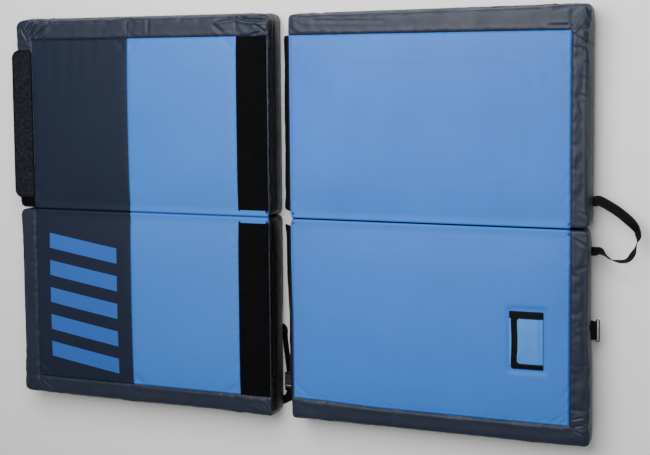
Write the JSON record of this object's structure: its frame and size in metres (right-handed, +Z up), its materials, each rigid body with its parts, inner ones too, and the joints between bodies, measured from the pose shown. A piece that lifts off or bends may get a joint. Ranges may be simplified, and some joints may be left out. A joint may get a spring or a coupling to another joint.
{
  "type": "bouldering crash pad",
  "caption": "Folding bouldering crash pad of two units lying open side by side, with hinged landing panels, join flaps, carpet flap, carry loop and harness.",
  "frame": {"origin": "on the floor, under the middle of the whole part's bounding box, which is on the fold line", "axes": "+X across both units from the carpet flap's side to the carry loop's side, +Y from the lower panels to the upper ones, +Z up, normal to the landing faces"},
  "size_m": [2.245, 1.3896, 0.1243],
  "materials": {
    "charcoal_cloth": "coated charcoal nylon cloth, slightly shiny",
    "blue_cloth": "light steel blue ballistic nylon",
    "navy_cloth": "dark navy ballistic nylon",
    "loop_cloth": "black loop pile of a hook-and-loop band",
    "hook_cloth": "black hook tape on cloth",
    "carpet_cloth": "heathered charcoal carpet",
    "black_webbing": "black woven webbing and binding",
    "firm_foam": "closed-cell foam sheet",
    "soft_foam": "open-cell foam",
    "black_plastic": "moulded black plastic",
    "steel_wire": "bright steel wire"
  },
  "bodies": {
    "left_lower": {"left_lower_cover": "charcoal_cloth", "left_lower_top_foam": "firm_foam", "left_lower_core_foam": "soft_foam", "left_lower_base_foam": "firm_foam", "left_lower_navy_face": "navy_cloth", "left_lower_blue_face": "blue_cloth", "left_lower_loop_band": "loop_cloth", "left_lower_fold_strip": "blue_cloth", "left_lower_zip": "black_webbing", "left_lower_zip_slider": "black_plastic", "harness_yoke": "charcoal_cloth", "harness_anchor_band": "charcoal_cloth", "shoulder_strap_upper": "charcoal_cloth", "shoulder_strap_lower": "charcoal_cloth", "ladder_lock_upper": "black_plastic", "ladder_lock_lower": "black_plastic", "adjusting_webbing_upper": "black_webbing", "adjusting_webbing_lower": "black_webbing", "belt_buckle_socket": "black_plastic", "belt_webbing_upper": "black_webbing"},
    "left_upper": {"left_upper_cover": "charcoal_cloth", "left_upper_top_foam": "firm_foam", "left_upper_core_foam": "soft_foam", "left_upper_base_foam": "firm_foam", "left_upper_navy_face": "navy_cloth", "left_upper_blue_face": "blue_cloth", "left_upper_loop_band": "loop_cloth", "left_upper_fold_strip": "blue_cloth", "left_upper_zip": "black_webbing", "left_upper_zip_slider": "black_plastic", "carpet_fleece_strip": "carpet_cloth"},
    "carpet": {"carpet_flap": "carpet_cloth", "carpet_flap_binding": "black_webbing"},
    "right_lower": {"right_lower_cover": "charcoal_cloth", "right_lower_top_foam": "firm_foam", "right_lower_core_foam": "soft_foam", "right_lower_base_foam": "firm_foam", "right_lower_face": "blue_cloth", "right_lower_fold_strip": "blue_cloth", "right_lower_zip": "black_webbing", "right_lower_zip_slider": "black_plastic", "webbing_loop_lower": "black_webbing", "ring_tab": "black_webbing"},
    "right_upper": {"right_upper_cover": "charcoal_cloth", "right_upper_top_foam": "firm_foam", "right_upper_core_foam": "soft_foam", "right_upper_base_foam": "firm_foam", "right_upper_face": "blue_cloth", "right_upper_fold_strip": "blue_cloth", "right_upper_zip": "black_webbing", "right_upper_zip_slider": "black_plastic", "webbing_loop_upper": "black_webbing"},
    "join_flap_upper": {"join_flap_upper": "hook_cloth"},
    "join_flap_lower": {"join_flap_lower": "hook_cloth"},
    "patch_flap": {"patch_flap_cloth": "blue_cloth", "patch_flap_binding": "black_webbing"},
    "ring": {"wire_ring": "steel_wire"},
    "buckle_plug": {"belt_buckle_plug": "black_plastic", "belt_webbing_lower": "black_webbing", "belt_tail": "black_webbing"}
  },
  "joints": [
    {"name": "left_fold", "type": "hinge", "parent": "left_lower", "child": "left_upper", "pos_m": [-0.59972, 0, 0.118], "axis": [1, 0, 0], "range_deg": [0, 175]},
    {"name": "right_fold", "type": "hinge", "parent": "right_lower", "child": "right_upper", "pos_m": [0.48068, 0, 0.118], "axis": [1, 0, 0], "range_deg": [0, 175]},
    {"name": "unit_join", "type": "slide", "parent": "left_lower", "child": "right_lower", "axis": [1, 0, 0], "range_m": [-0.027, 0.3]},
    {"name": "join_flap_upper_turn", "type": "hinge", "parent": "right_upper", "child": "join_flap_upper", "pos_m": [-0.02216, 0.32, 0.115], "axis": [0, -1, 0], "range_deg": [-205, 3]},
    {"name": "join_flap_lower_turn", "type": "hinge", "parent": "right_lower", "child": "join_flap_lower", "pos_m": [-0.02216, -0.32, 0.115], "axis": [0, -1, 0], "range_deg": [-205, 3]},
    {"name": "carpet_turn", "type": "hinge", "parent": "left_upper", "child": "carpet", "pos_m": [-1.04152, 0.312, 0.11985], "axis": [0, -1, 0], "range_deg": [-170, 0]},
    {"name": "patch_flap_turn", "type": "hinge", "parent": "right_lower", "child": "patch_flap", "pos_m": [0.83238, -0.36055, 0.12079], "axis": [0, -1, 0], "range_deg": [-170, 0]},
    {"name": "ring_swing", "type": "hinge", "parent": "right_lower", "child": "ring", "pos_m": [0.99368, -0.327, 0.06], "axis": [0, 1, 0], "range_deg": [-80, 80]},
    {"name": "buckle_release", "type": "slide", "parent": "left_lower", "child": "buckle_plug", "axis": [0, -1, 0], "range_m": [0, 0.03]}
  ]
}
